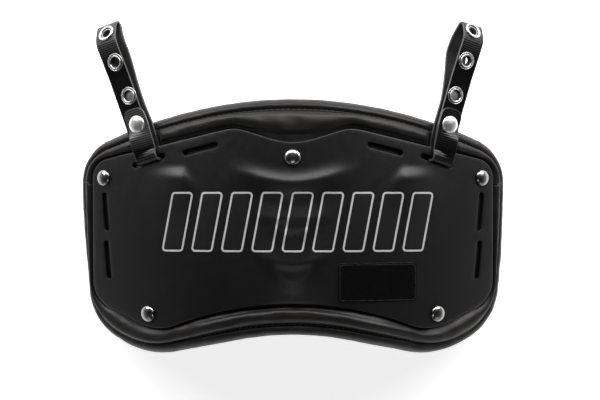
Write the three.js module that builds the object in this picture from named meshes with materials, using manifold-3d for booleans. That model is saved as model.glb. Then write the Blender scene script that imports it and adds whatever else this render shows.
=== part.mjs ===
// A football back plate: a moulded plastic shell riveted to a padded cushion, with two snap strap loops that
// hang it from the shoulder pads. It lies on a table as it would by itself, curved side up, on the cushion's rims.
// Millimetres. +X is across the plate, towards the wearer's right, +Y is up the wearer's back, +Z is away from it.

import * as THREE from "three";
import { mergeVertices } from "three/addons/utils/BufferGeometryUtils.js";
import Module from "manifold-3d";

const wasm = await Module();
wasm.setup();

const GAP = 0.3; // clearance between pieces that touch

// The curved form that the plate, the cushion and the straps all follow
const FORM = {
  steepness: 1.02, // slope that the sides tend to
  crownRadius: 162, // radius across the middle
  halfHeight: 90, // where the lengthways bow and the narrowing below are measured
  bow: 5, // how far the upper and lower ends fall back
  narrowing: 0.03, // share of the width lost over one half height
};

const PLATE = {
  halfWidth: 165,
  halfHeight: 80,
  thickness: 3,
  slotLength: 32,
  slotWidth: 5,
  rivetHole: 2.8, // radius
};

const PAD = {
  halfWidth: 173, // to the seam
  halfHeight: 100,
  thickness: 21.2, // under the plate
  bulge: 4, // how far the cover swells up round the plate
  roll: 9, // how far the rolled rim stands out past the seam
  seamDepth: 1.8,
};

const STRAP = {
  width: 19,
  thickness: 2.2,
  tabReach: 44, // from the slot to the tab's tip, along the strap
  tailReach: 20, // from the slot to the hidden end under the tab
  loopReach: 117, // from the slot to the top of the loop
  bar: 7.5, // from the slot to the plate's edge
  lift: 0.1, // slope of the front layer off the plate
  swell: 5.2, // how far the loop's front bows out at its top
  fold: 13, // length of the leaning stretch at the loop's top
  foldTilt: 31, // degrees that it leans back
  holeRadius: 4.3,
  slack: 0.5, // more room behind the curved plate
};

const RIVET = { capRadius: 6.5, capHeight: 2.6, shankRadius: 2.4, depth: 12 };
const SNAP = { capRadius: 7.3, capHeight: 2.4, postRadius: 2.6, baseRadius: 5.2 };
const EYELET = { flangeRadius: 7.6, barrelRadius: 4, holeRadius: 3.1, flange: 0.7, lipHeight: 1.5 };
const LABEL = { width: 64, height: 31.5, corner: 3, thickness: 0.4, x: 68, y: -45 };

const COLOURS = {
  plate: { color: 0x1c1c1d, roughness: 0.42, metalness: 0 },
  cover: { color: 0x171516, roughness: 0.5, metalness: 0 },
  strap: { color: 0x121213, roughness: 0.35, metalness: 0 },
  nickel: { color: 0xb9b4b0, roughness: 0.2, metalness: 1 },
  label: { color: 0x060606, roughness: 0.25, metalness: 0 },
};

// Corners of the right half of the plate, top to bottom: shares of its half sizes, and the radius of each corner.
const PLATE_CORNERS = [
  { x: 0, y: 0.806, radius: 57 },
  { x: 0.281, y: 0.99, radius: 30 },
  { x: 1, y: 0.65, radius: 16 },
  { x: 1, y: -0.759, radius: 25 },
  { x: 0.669, y: -1.078, radius: 36 },
  { x: 0, y: -0.523, radius: 260 },
];

// The same for the cushion, along the seam of its cover
const PAD_CORNERS = [
  { x: 0, y: 1.29, radius: 393 },
  { x: 1, y: 0.544, radius: 31 },
  { x: 0.997, y: 0, radius: 900 },
  { x: 0.958, y: -0.755, radius: 42 },
  { x: 0.71, y: -0.985, radius: 62 },
  { x: 0, y: -0.737, radius: 256 },
];

// Slots of the right half: centre as shares of the plate's half sizes, and the turn in degrees
const SLOTS = [
  { name: "strap", x: 0.708, y: 0.66, turn: -17.8 },
  { name: "inner", x: 0.45, y: 0.775, turn: -13.8 },
  { name: "side_upper", x: 0.93, y: 0.144, turn: 85 },
  { name: "side_lower", x: 0.92, y: -0.35, turn: 85 },
];

// Rivets, as shares of the plate's half sizes
const RIVETS = [
  { name: "rivet_top", x: 0, y: 0.688 },
  { name: "rivet_upper_left", x: -0.938, y: 0.49 },
  { name: "rivet_upper_right", x: 0.938, y: 0.49 },
  { name: "rivet_lower_left", x: -0.711, y: -0.89 },
  { name: "rivet_lower_right", x: 0.711, y: -0.89 },
];

// Raised crests down the middle of the plate. Each is a curve that opens upwards: its lowest point, the slope of its
// arms, how round its foot is, its half width, the length of the hollow above it and of the fall below it, as
// shares of the plate's half height, and its height in millimetres.
const CRESTS = [
  { tip: 0.449, slope: 0.35, round: 0.31, reach: 0.72, hollow: 0.15, fall: 0.26, height: 3.4 },
  { tip: 0.081, slope: 0.15, round: 0.25, reach: 0.44, hollow: 0.24, fall: 0.06, height: 2.2 },
  { tip: -0.098, slope: 0.6, round: 0.05, reach: 0.34, hollow: 0.16, fall: 0.14, height: 1.6 },
  { tip: -0.375, slope: 0.4, round: 0.15, reach: 0.42, hollow: 0.25, fall: 0.06, height: 2.2 },
  { tip: -0.515, slope: 0.65, round: 0.05, reach: 0.38, hollow: 0.15, fall: 0.2, height: 1.5 },
];

// The two raised wings beside them: shares of the plate's half sizes, and the height in millimetres. The upper edge
// droops towards the inner end.
const WING = { inner: 0.43, crown: 0.54, outer: 0.76, top: 0.62, ramp: 0.15, droop: 0.2, foot: 0, height: 3.6 };

// How each strap stands: its side, how far it sits along its slot and the degrees it leans up to the snap and past it.
// Its back layer sinks and rises: shares of the loop's reach, and millimetres out of the plate's face. The last entry
// is where the lines of the back layer and the leaning stretch would meet.
const STRAPS = [
  { name: "left", side: -1, shift: 0.7, tabLean: 1.75, loopLean: 7, peak: 1.082,
    back: [[0.262, -3.2], [0.4, -1], [0.62, -0.4], [0.86, 2.8]] },
  { name: "right", side: 1, shift: 3.4, tabLean: 4, loopLean: -1.5, peak: 1.032,
    back: [[0.262, -3.2], [0.42, -1.4], [0.77, -6.4]] },
];

// Where the snap cap and the eyelets sit along the strap, as shares of the loop's reach
const CAP_AT = 0.262;
const TIP_STEPS = [0.04, 0.14, 0.32, 0.6, 1]; // rows of the tab's round tip, as shares of the strap's half width
const EYELETS_AT = [0.94, 0.727, 0.475];
const EYELET_SHIFT = 1; // how far the eyelets sit off the strap's middle, towards the plate's middle

const clamp01 = (t) => Math.min(1, Math.max(0, t));

function smooth(t) {
  const c = clamp01(t);
  return c * c * (3 - 2 * c);
}

// Height of the plate's outer face before its relief, 0 at the crown
function formHeight(x, y) {
  const across = x / (1 + (FORM.narrowing * y) / FORM.halfHeight);
  const round = FORM.crownRadius * FORM.steepness;
  const side = FORM.steepness * (Math.hypot(across, round) - round);
  return -side - FORM.bow * (y / FORM.halfHeight) ** 2;
}

function normalOf(height, x, y) {
  const step = 0.5;
  const dx = (height(x + step, y) - height(x - step, y)) / (2 * step);
  const dy = (height(x, y + step) - height(x, y - step)) / (2 * step);
  return new THREE.Vector3(-dx, -dy, 1).normalize();
}

// The point a given distance out from the form, square to it
function onForm(x, y, out) {
  return new THREE.Vector3(x, y, formHeight(x, y)).addScaledVector(normalOf(formHeight, x, y), out);
}

// Frame on the form at x, y: Z out of it, X towards the direction turned from +X in the plan
function frameOn(x, y, turn = 0, out = 0) {
  const normal = normalOf(formHeight, x, y);
  const along = new THREE.Vector3(Math.cos(turn), Math.sin(turn), 0);
  along.z = -along.dot(normal) / normal.z;
  along.normalize();
  const up = new THREE.Vector3().crossVectors(normal, along);
  return new THREE.Matrix4().makeBasis(along, up, normal).setPosition(onForm(x, y, out));
}

function crestRelief(crest, x, y) {
  const size = PLATE.halfHeight;
  const round = crest.round * size;
  const line = crest.tip * size + crest.slope * (Math.hypot(x, round) - round);
  const side = smooth((1 - Math.abs(x) / (crest.reach * size)) * 1.6);
  const above = y - line;
  const share = above > 0 ? (1 - clamp01(above / (crest.hollow * size))) ** 2
    : 1 - smooth(-above / (crest.fall * size));
  return crest.height * side * share;
}

function wingRelief(x, y) {
  const across = Math.abs(x) / PLATE.halfWidth;
  const up = y / PLATE.halfHeight;
  const inner = smooth((across - WING.inner) / (WING.crown - WING.inner));
  const outer = smooth((WING.outer - across) / (WING.outer - WING.crown));
  const edge = WING.top - WING.droop * (1 - inner);
  const ramp = smooth((edge - up) / WING.ramp);
  const foot = smooth((up - WING.foot) / (WING.top - WING.foot));
  return WING.height * inner * outer * ramp * foot;
}

function plateHeight(x, y) {
  const relief = CRESTS.reduce((sum, crest) => sum + crestRelief(crest, x, y), wingRelief(x, y));
  return formHeight(x, y) + relief;
}

// Points of a path through corners, each rounded by its radius, with chords no longer than chord
function roundedPath(corners, closed, chord, turnStep = Math.PI / 10) {
  const points = [];
  corners.forEach((corner, i) => {
    const here = new THREE.Vector2(corner.x, corner.y);
    if (!corner.radius || (!closed && (i === 0 || i === corners.length - 1))) {
      points.push(here);
      return;
    }
    const last = corners[(i + corners.length - 1) % corners.length];
    const next = corners[(i + 1) % corners.length];
    const toLast = new THREE.Vector2(last.x, last.y).sub(here).normalize();
    const toNext = new THREE.Vector2(next.x, next.y).sub(here).normalize();
    const turn = Math.PI - Math.acos(THREE.MathUtils.clamp(toLast.dot(toNext), -1, 1));
    const middle = toLast.clone().add(toNext).normalize();
    const centre = here.clone().addScaledVector(middle, corner.radius / Math.cos(turn / 2));
    const start = here.clone().addScaledVector(toLast, corner.radius * Math.tan(turn / 2));
    const way = Math.sign(toNext.cross(toLast));
    const steps = Math.max(2, Math.ceil(turn / turnStep), Math.ceil((corner.radius * turn) / chord));
    for (let k = 0; k <= steps; k++) {
      points.push(start.clone().rotateAround(centre, (way * turn * k) / steps));
    }
  });
  return points;
}

// The whole outline from the corners of its right half, clockwise from the top
function outline(half, width, height, chord) {
  const right = half.map((c) => ({ x: c.x * width, y: c.y * height, radius: c.radius }));
  const left = right.slice(1, -1).reverse().map((c) => ({ ...c, x: -c.x }));
  return roundedPath([...right, ...left], true, chord);
}

// Points spaced evenly along a closed path
function evenly(points, count) {
  const ends = points.map((p, i) => points[(i + 1) % points.length].distanceTo(p));
  const total = ends.reduce((a, b) => a + b, 0);
  const found = [];
  let at = 0;
  let passed = 0;
  for (let k = 0; k < count; k++) {
    const target = (total * k) / count;
    while (passed + ends[at] < target) passed += ends[at++];
    found.push(points[at].clone().lerp(points[(at + 1) % points.length], (target - passed) / ends[at]));
  }
  return found;
}

// Where the ray from the origin towards a point leaves a closed path
function crossing(path, towards) {
  for (let i = 0; i < path.length; i++) {
    const a = path[i];
    const side = new THREE.Vector2().subVectors(path[(i + 1) % path.length], a);
    const across = towards.cross(side);
    if (Math.abs(across) < 1e-9) continue;
    const reach = a.cross(side) / across;
    const share = a.cross(towards) / across;
    if (reach > 0 && share >= 0 && share <= 1) return towards.clone().multiplyScalar(reach);
  }
  throw new Error("the path does not surround the origin");
}

function solidFrom(geometry) {
  const bare = geometry.clone();
  for (const name of Object.keys(bare.attributes)) if (name !== "position") bare.deleteAttribute(name);
  const merged = mergeVertices(bare, 1e-4);
  const vertProperties = new Float32Array(merged.attributes.position.array);
  const triVerts = new Uint32Array(merged.index.array);
  return new wasm.Manifold(new wasm.Mesh({ numProp: 3, vertProperties, triVerts }));
}

function geometryFrom(solid) {
  const mesh = solid.getMesh();
  const geometry = new THREE.BufferGeometry();
  geometry.setAttribute("position", new THREE.BufferAttribute(new Float32Array(mesh.vertProperties), 3));
  geometry.setIndex(new THREE.BufferAttribute(new Uint32Array(mesh.triVerts), 1));
  return geometry;
}

// A closed geometry from rows of points that run round it, closed by a point at each end
function ringsBetween(first, rings, last) {
  const count = rings[0].length;
  const points = [first, ...rings.flat(), last];
  const index = [];
  const at = (ring, i) => 1 + ring * count + (i % count);
  for (let i = 0; i < count; i++) {
    index.push(0, at(0, i + 1), at(0, i));
    for (let r = 0; r < rings.length - 1; r++) {
      index.push(at(r, i), at(r, i + 1), at(r + 1, i));
      index.push(at(r, i + 1), at(r + 1, i + 1), at(r + 1, i));
    }
    index.push(at(rings.length - 1, i), at(rings.length - 1, i + 1), points.length - 1);
  }
  return new THREE.BufferGeometry().setFromPoints(points).setIndex(index);
}

// A closed slab over a grid of plan lines, between two height functions
function slab(xs, ys, top, bottom) {
  const points = [];
  for (const height of [top, bottom]) for (const y of ys) for (const x of xs) points.push(
    new THREE.Vector3(x, y, height(x, y)));
  const layer = xs.length * ys.length;
  const at = (i, j, low) => low * layer + j * xs.length + i;
  const index = [];
  const quad = (a, b, c, d) => index.push(a, b, c, a, c, d);
  for (let j = 0; j < ys.length - 1; j++) {
    for (let i = 0; i < xs.length - 1; i++) {
      quad(at(i, j, 0), at(i + 1, j, 0), at(i + 1, j + 1, 0), at(i, j + 1, 0));
      quad(at(i, j, 1), at(i, j + 1, 1), at(i + 1, j + 1, 1), at(i + 1, j, 1));
    }
  }
  for (let i = 0; i < xs.length - 1; i++) {
    quad(at(i, 0, 1), at(i + 1, 0, 1), at(i + 1, 0, 0), at(i, 0, 0));
    const j = ys.length - 1;
    quad(at(i, j, 0), at(i + 1, j, 0), at(i + 1, j, 1), at(i, j, 1));
  }
  for (let j = 0; j < ys.length - 1; j++) {
    quad(at(0, j, 0), at(0, j + 1, 0), at(0, j + 1, 1), at(0, j, 1));
    const i = xs.length - 1;
    quad(at(i, j, 1), at(i, j + 1, 1), at(i, j + 1, 0), at(i, j, 0));
  }
  return new THREE.BufferGeometry().setFromPoints(points).setIndex(index);
}

// Grid lines from low to high, a fine step inside the band and a coarse one outside it
function gridLines(low, high, bandLow, bandHigh, fine, coarse) {
  const stretch = (from, to, step) => {
    const count = Math.max(1, Math.round((to - from) / step));
    return Array.from({ length: count }, (_, k) => from + ((to - from) * k) / count);
  };
  return [...stretch(low, bandLow, coarse), ...stretch(bandLow, bandHigh, fine),
    ...stretch(bandHigh, high, coarse), high];
}

// A prism of the outline that runs right through the form, along Z
function prism(points, low, high) {
  const shape = new THREE.Shape(points);
  return new THREE.ExtrudeGeometry(shape, { depth: high - low, bevelEnabled: false }).translate(0, 0, low);
}

// A block inside a plan outline whose walls stand square to the form
function edgeBlock(points) {
  const reach = 4 * PLATE.thickness;
  const peak = (level) => new THREE.Vector3(0, 0, level);
  const ring = (level) => points.map((p) => onForm(p.x, p.y, level));
  return ringsBetween(peak(60), [ring(reach), ring(-reach)], peak(-PLATE.halfHeight));
}

function slotPoints(length, width) {
  const reach = (length - width) / 2;
  const corners = [[reach, 1], [-reach, 1], [-reach, -1], [reach, -1]];
  return corners.flatMap(([x, side], i) => {
    const start = i % 2 ? Math.PI / 2 : 0;
    return [0, 1, 2].map((k) => {
      const angle = (i < 2 ? 0 : Math.PI) + start + (k * Math.PI) / 4;
      return new THREE.Vector2(x + (width / 2) * Math.cos(angle), (width / 2) * Math.sin(angle));
    });
  });
}

function cylinder(radius, low, high, sides = 12) {
  return new THREE.CylinderGeometry(radius, radius, high - low, sides).rotateX(Math.PI / 2)
    .translate(0, 0, (low + high) / 2);
}

// Places on both halves of the plate, in millimetres
function platePlace(spot, side = 1) {
  return { x: side * spot.x * PLATE.halfWidth, y: spot.y * PLATE.halfHeight };
}

function makePlate() {
  const margin = 6;
  const edge = PLATE.halfWidth + margin;
  const low = -1.12 * PLATE.halfHeight;
  const high = 1.08 * PLATE.halfHeight;
  const reliefReach = 0.62 * PLATE.halfHeight;
  const xs = gridLines(-edge, edge, -reliefReach, reliefReach, 9.5, 16);
  const ys = gridLines(low, high, -reliefReach, reliefReach, 7.2, 13);
  const under = (x, y) => plateHeight(x, y) - PLATE.thickness / normalOf(plateHeight, x, y).z;
  let solid = solidFrom(slab(xs, ys, plateHeight, under));
  solid = solid.intersect(solidFrom(edgeBlock(outline(PLATE_CORNERS, PLATE.halfWidth, PLATE.halfHeight, 14))));
  const through = 4 * PLATE.thickness;
  for (const slot of SLOTS) {
    for (const side of [1, -1]) {
      const place = platePlace(slot, side);
      const turn = THREE.MathUtils.degToRad(slot.turn * side);
      const cutter = prism(slotPoints(PLATE.slotLength, PLATE.slotWidth), -through, through);
      solid = solid.subtract(solidFrom(cutter.applyMatrix4(frameOn(place.x, place.y, turn))));
    }
  }
  for (const rivet of RIVETS) {
    const place = platePlace(rivet);
    const cutter = cylinder(PLATE.rivetHole, -through, through);
    solid = solid.subtract(solidFrom(cutter.applyMatrix4(frameOn(place.x, place.y))));
  }
  return solid;
}

// Profile of the cushion's rim past the seam: out from the seam, and along the form's normal
function rimProfile() {
  const { roll, thickness } = PAD;
  const top = -PLATE.thickness - GAP;
  const share = [[0.3, 0.03], [0.74, 0.16], [1, 0.42], [0.86, 0.72], [0.4, 0.93], [-0.9, 1]];
  return share.map(([out, down]) => ({ out: out * roll, level: top - down * thickness }));
}

// The cushion: rings from the middle of its front, under the plate, over the seam and the rim, to its back
function makePad() {
  const stations = evenly(outline(PAD_CORNERS, PAD.halfWidth, PAD.halfHeight, 4), 72);
  const plateEdge = outline(PLATE_CORNERS, PLATE.halfWidth, PLATE.halfHeight, 4);
  const inner = stations.map((p) => crossing(plateEdge, p));
  const front = -PLATE.thickness - GAP;
  const back = front - PAD.thickness;
  const rings = [];
  for (const share of [0.45, 0.9]) rings.push(inner.map((p) => onForm(p.x * share, p.y * share, front)));
  const swell = [[0.2, -0.12], [0.35, 0.7], [0.56, 1], [0.86, 0.6]];
  for (const [share, rise] of swell) {
    rings.push(inner.map((p, i) => {
      const q = p.clone().lerp(stations[i], share);
      return onForm(q.x, q.y, front + rise * PAD.bulge);
    }));
  }
  rings.push(stations.map((p) => onForm(p.x, p.y, front - PAD.seamDepth)));
  const outward = stations.map((_, i) => {
    const before = stations[(i + stations.length - 1) % stations.length];
    const after = stations[(i + 1) % stations.length];
    return new THREE.Vector2(before.y - after.y, after.x - before.x).normalize();
  });
  for (const { out, level } of rimProfile()) {
    rings.push(stations.map((p, i) => {
      const slope = normalOf(formHeight, p.x, p.y);
      const tilt = Math.abs(slope.x * outward[i].x + slope.y * outward[i].y);
      const step = out * Math.sqrt(1 - tilt * tilt);
      return onForm(p.x + outward[i].x * step, p.y + outward[i].y * step, level);
    }));
  }
  rings.push(stations.map((p) => onForm(p.x * 0.5, p.y * 0.5, back)));
  return solidFrom(ringsBetween(onForm(0, 0, front), rings, onForm(0, 0, back)));
}

function strapFrame(strap) {
  const place = platePlace(SLOTS[0], strap.side);
  return frameOn(place.x, place.y, THREE.MathUtils.degToRad(SLOTS[0].turn * strap.side));
}

// How far along the slot a strap has moved at a distance up it
function drift(strap, up) {
  const snap = CAP_AT * STRAP.loopReach;
  const slope = (degrees) => Math.tan(THREE.MathUtils.degToRad(degrees));
  return strap.shift - slope(strap.tabLean) * Math.min(up, snap) - slope(strap.loopLean) * Math.max(0, up - snap);
}

// The strap's middle line, in the plane square to the slot: x runs up the strap from the slot, y out of the plate
function strapLine(strap) {
  const half = STRAP.thickness / 2;
  const front = GAP + half;
  const behind = -PLATE.thickness - GAP - STRAP.slack - half;
  const bend = (front - behind) / 2;
  const wrap = PLATE.slotWidth / 2 - GAP - half;
  const snap = CAP_AT * STRAP.loopReach;
  const tab = (x) => front + STRAP.lift * (x - STRAP.bar);
  const tail = (x) => tab(x) - (STRAP.thickness + GAP) * Math.hypot(1, STRAP.lift);
  const swellAt = 0.62 * STRAP.loopReach;
  const shoulder = STRAP.loopReach - STRAP.fold;
  const crest = tail(swellAt) + STRAP.swell;
  const peak = strap.peak * STRAP.loopReach;
  const lean = Math.tan(THREE.MathUtils.degToRad(STRAP.foldTilt));
  return [
    { x: STRAP.tabReach, y: tab(STRAP.tabReach), radius: 0 },
    { x: snap, y: tab(snap), radius: 0 },
    { x: STRAP.bar, y: front, radius: 12 },
    { x: -wrap, y: front, radius: bend },
    { x: -wrap, y: behind, radius: bend },
    { x: 1.9 * STRAP.bar, y: behind, radius: 6 },
    ...strap.back.map(([share, out]) => ({ x: share * STRAP.loopReach, y: out, radius: 24 })),
    { x: peak, y: crest - lean * (peak - shoulder), radius: 2.2 },
    { x: shoulder, y: crest, radius: 5 },
    { x: swellAt, y: tail(swellAt), radius: 60 },
    { x: snap, y: tail(snap), radius: 0 },
    { x: STRAP.tailReach, y: tail(STRAP.tailReach), radius: 0 },
  ];
}

// The middle line as points, with extra ones near the tab's tip for its round end
function strapPath(strap) {
  const points = roundedPath(strapLine(strap), false, 40, Math.PI / 8);
  const tip = points[0];
  const run = points[1].clone().sub(tip);
  const extra = TIP_STEPS.map((t) => tip.clone().addScaledVector(run, (t * STRAP.width) / 2 / run.length()));
  return [tip, ...extra, ...points.slice(1)];
}

// A band that follows a strap's middle line, between two levels off it
function ribbon(strap, path, halfWidth, low, high) {
  const rows = path.map((p, i) => {
    const toHere = p.clone().sub(path[Math.max(0, i - 1)]).normalize();
    const toNext = path[Math.min(path.length - 1, i + 1)].clone().sub(p).normalize();
    const along = toHere.clone().add(toNext).normalize();
    const stretch = 1 / Math.max(along.dot(toNext), along.dot(toHere), 0.5);
    const out = new THREE.Vector2(-along.y, along.x).multiplyScalar(stretch);
    const wide = halfWidth(i);
    const at = (level, side) => new THREE.Vector3(
      drift(strap, p.x) + side * wide, p.x + out.x * level, p.y + out.y * level);
    return [at(low, -1), at(low, 1), at(high, 1), at(high, -1)];
  });
  const index = [0, 1, 2, 0, 2, 3];
  for (let r = 0; r < rows.length - 1; r++) {
    for (let k = 0; k < 4; k++) {
      const a = 4 * r + k;
      const b = 4 * r + ((k + 1) % 4);
      index.push(a, a + 4, b, b, a + 4, b + 4);
    }
  }
  const end = 4 * (rows.length - 1);
  index.push(end, end + 2, end + 1, end, end + 3, end + 2);
  return new THREE.BufferGeometry().setFromPoints(rows.flat()).setIndex(index);
}

function tipWidth(i) {
  const full = STRAP.width / 2;
  const away = i ? TIP_STEPS[i - 1] ?? 1 : 0;
  return full * Math.max(0.35, Math.sqrt(1 - (1 - away) ** 2));
}

// Where a distance up the strap meets its tab or its front layer, as a frame with Z out of the strap's face
function strapSpot(strap, reach, onTab) {
  const path = strapPath(strap);
  const order = path.map((_, i) => i).slice(0, -1);
  const stretches = onTab ? order : order.reverse();
  const found = stretches.find((i) => (path[i].x - reach) * (path[i + 1].x - reach) <= 0);
  const a = path[found];
  const b = path[found + 1];
  const point = a.clone().lerp(b, (reach - a.x) / (b.x - a.x));
  const tilt = Math.atan2(a.y - b.y, a.x - b.x);
  const local = new THREE.Matrix4().makeRotationX(tilt).setPosition(drift(strap, point.x), point.x, point.y);
  return strapFrame(strap).multiply(local);
}

function capSpot(strap) {
  return strapSpot(strap, CAP_AT * STRAP.loopReach + 0.01, true);
}

function eyeletSpots(strap) {
  const aside = new THREE.Matrix4().makeTranslation(-strap.side * EYELET_SHIFT, 0, 0);
  return EYELETS_AT.map((share) => strapSpot(strap, share * STRAP.loopReach, false).multiply(aside));
}

function makeStrap(strap) {
  const half = STRAP.thickness / 2;
  let solid = solidFrom(ribbon(strap, strapPath(strap), tipWidth, -half, half).applyMatrix4(strapFrame(strap)));
  const layer = STRAP.thickness + GAP;
  const post = cylinder(SNAP.postRadius + 1.3 * GAP, -layer - half - GAP / 2, half + GAP / 2, 12);
  solid = solid.subtract(solidFrom(post.applyMatrix4(capSpot(strap))));
  for (const spot of eyeletSpots(strap)) {
    const hole = cylinder(STRAP.holeRadius, -half - GAP, half + GAP, 14);
    solid = solid.subtract(solidFrom(hole.applyMatrix4(spot)));
  }
  return solid;
}

// The room that a strap needs in the cushion: everything above the underside of its back layer
function strapRoom(strap) {
  const under = STRAP.thickness / 2 + GAP;
  const start = -PLATE.slotWidth / 2 - GAP;
  const end = 0.5 * STRAP.loopReach;
  const level = -PLATE.thickness - GAP - STRAP.slack - 2 * under + GAP;
  const sky = 6 * STRAP.thickness;
  const snap = CAP_AT * STRAP.loopReach;
  const profile = [[start, sky], [start, level], [snap, level], [end, level], [end, sky], [snap, sky]];
  const shape = new THREE.Shape(profile.map(([up, out]) => new THREE.Vector2(up, out)));
  const wide = STRAP.width / 2 + 4 * GAP;
  const block = new THREE.ExtrudeGeometry(shape, { depth: 2 * wide, bevelEnabled: false });
  const place = block.attributes.position;
  for (let i = 0; i < place.count; i++) {
    const up = place.getX(i);
    place.setXYZ(i, drift(strap, up) + place.getZ(i) - wide, up, place.getY(i));
  }
  return solidFrom(block.applyMatrix4(strapFrame(strap)));
}

// A closed turned shape from its profile: radius and height
function turned(profile, sides) {
  const points = profile.map(([radius, height]) => new THREE.Vector2(radius, height));
  return new THREE.LatheGeometry(points, sides).rotateX(Math.PI / 2);
}

function domed(radius, height, base, steps = 3) {
  return Array.from({ length: steps }, (_, k) => {
    const angle = (k / steps) * (Math.PI / 2);
    return [radius * Math.cos(angle), base + height * Math.sin(angle)];
  });
}

function makeRivet(spot) {
  const { capRadius, capHeight, shankRadius, depth } = RIVET;
  const profile = [[0, -depth], [shankRadius, -depth], [shankRadius, GAP], [capRadius * 0.93, GAP],
    ...domed(capRadius, capHeight, GAP + 0.5), [0, GAP + 0.5 + capHeight]];
  const place = platePlace(spot);
  return turned(profile, 12).applyMatrix4(frameOn(place.x, place.y));
}

function makeSnapCap(strap) {
  const half = STRAP.thickness / 2;
  const top = half + GAP;
  const foot = -3 * half - 2 * GAP;
  const { capRadius, capHeight, postRadius, baseRadius } = SNAP;
  const profile = [[0, foot - 0.9], [baseRadius, foot - 0.9], [baseRadius, foot], [postRadius, foot],
    [postRadius, top], [capRadius * 0.94, top], ...domed(capRadius, capHeight, top + 0.5), [0, top + 0.5 + capHeight]];
  return turned(profile, 14).applyMatrix4(capSpot(strap));
}

function makeEyelet(spot) {
  const half = STRAP.thickness / 2;
  const { flangeRadius, barrelRadius, holeRadius, flange, lipHeight } = EYELET;
  const top = half + GAP;
  const profile = [[holeRadius, -top - flange], [flangeRadius * 0.72, -top - flange], [flangeRadius * 0.72, -top],
    [barrelRadius, -top], [barrelRadius, top], [flangeRadius, top], [flangeRadius * 0.95, top + flange],
    [flangeRadius * 0.78, top + flange], [flangeRadius * 0.68, top + lipHeight], [holeRadius, top + lipHeight],
    [holeRadius, -top - flange]];
  return turned(profile, 12).applyMatrix4(spot);
}

function makeLabel() {
  const { width, height, corner, thickness, x, y } = LABEL;
  const low = (px, py) => plateHeight(px, py) + GAP / normalOf(plateHeight, px, py).z;
  const high = (px, py) => low(px, py) + thickness / normalOf(plateHeight, px, py).z;
  const xs = gridLines(x - width / 2 - 1, x + width / 2 + 1, x - 1, x + 1, 2, 9);
  const ys = gridLines(y - height / 2 - 1, y + height / 2 + 1, y - 1, y + 1, 2, 9);
  const corners = [[1, 1], [1, -1], [-1, -1], [-1, 1]].map(([i, j]) => (
    { x: x + (i * width) / 2, y: y + (j * height) / 2, radius: corner }));
  const edge = prism(roundedPath(corners, true, 5, Math.PI / 8), -PLATE.halfWidth, PLATE.halfWidth);
  return solidFrom(slab(xs, ys, high, low)).intersect(solidFrom(edge));
}

const model = new THREE.Group();

function addPiece(name, piece, colours) {
  const geometry = piece instanceof THREE.BufferGeometry ? piece : geometryFrom(piece);
  const mesh = new THREE.Mesh(geometry, new THREE.MeshStandardMaterial(colours));
  mesh.name = name;
  model.add(mesh);
}

addPiece("plate", makePlate(), COLOURS.plate);
let pad = makePad();
for (const rivet of RIVETS) {
  const place = platePlace(rivet);
  const bore = cylinder(PLATE.rivetHole, -RIVET.depth - GAP, 0);
  pad = pad.subtract(solidFrom(bore.applyMatrix4(frameOn(place.x, place.y))));
  addPiece(rivet.name, makeRivet(rivet), COLOURS.nickel);
}
for (const strap of STRAPS) {
  pad = pad.subtract(strapRoom(strap));
  addPiece(`strap_${strap.name}`, makeStrap(strap), COLOURS.strap);
  addPiece(`snap_cap_${strap.name}`, makeSnapCap(strap), COLOURS.nickel);
  eyeletSpots(strap).forEach((spot, i) => {
    addPiece(`eyelet_${strap.name}_${i + 1}`, makeEyelet(spot), COLOURS.nickel);
  });
}
addPiece("pad", pad, COLOURS.cover);
addPiece("label", makeLabel(), COLOURS.label);

// Rest it on the ground: origin under the middle of its bounding box
const box = new THREE.Box3().setFromObject(model, true);
const middle = box.getCenter(new THREE.Vector3());
model.children.forEach((mesh) => mesh.geometry.translate(-middle.x, -middle.y, -box.min.z));

export default model;
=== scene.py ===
import math

import bpy
import numpy as np
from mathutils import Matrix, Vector
from mathutils.geometry import delaunay_2d_cdt
from mathutils.kdtree import KDTree


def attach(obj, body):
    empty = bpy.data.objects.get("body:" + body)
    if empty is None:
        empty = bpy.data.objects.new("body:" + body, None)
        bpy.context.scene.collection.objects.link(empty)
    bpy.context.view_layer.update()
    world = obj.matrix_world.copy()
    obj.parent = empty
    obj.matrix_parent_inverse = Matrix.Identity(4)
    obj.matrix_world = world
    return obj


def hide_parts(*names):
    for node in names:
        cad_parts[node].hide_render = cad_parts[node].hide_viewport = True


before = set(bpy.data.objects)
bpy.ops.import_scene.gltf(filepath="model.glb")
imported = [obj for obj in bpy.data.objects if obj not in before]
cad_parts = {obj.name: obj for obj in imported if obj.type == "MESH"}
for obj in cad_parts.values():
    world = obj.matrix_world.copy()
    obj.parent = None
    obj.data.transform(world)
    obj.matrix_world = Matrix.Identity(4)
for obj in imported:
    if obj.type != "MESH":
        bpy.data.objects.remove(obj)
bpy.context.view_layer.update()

# Lengths are in millimetres until a mesh is made
MM = 0.001
GAP = 0.3
CLEARANCE = 0.05
FORM = dict(steepness=1.02, crown=162.0, half=90.0, bow=5.0, narrowing=0.03)
PLATE = dict(half_width=165.0, half_height=80.0, thickness=3.0, slot_length=32.0, slot_width=5.0, hole=2.8)
PAD = dict(half_width=173.0, half_height=100.0, thickness=21.2, bulge=4.0, roll=9.0, seam=1.8)
STRAP = dict(width=19.0, thickness=2.2, tab=44.0, tail=12.0, loop=117.0, bar=7.5, lift=0.1, swell=5.2,
             swell_at=0.62, fold=13.0, fold_tilt=31.0, fold_reach=9.0, slack=0.5, bow=3.0, bow_reach=22.0,
             twist=13.0, tip=6.5)
RIVET = dict(radius=6.5, height=2.6, shank=2.4)
SNAP = dict(radius=7.3, height=2.4, post=2.6, base=5.2)
EYELET = dict(flange_radius=7.6, barrel=4.0, hole=3.1, flange=0.7)
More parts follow.
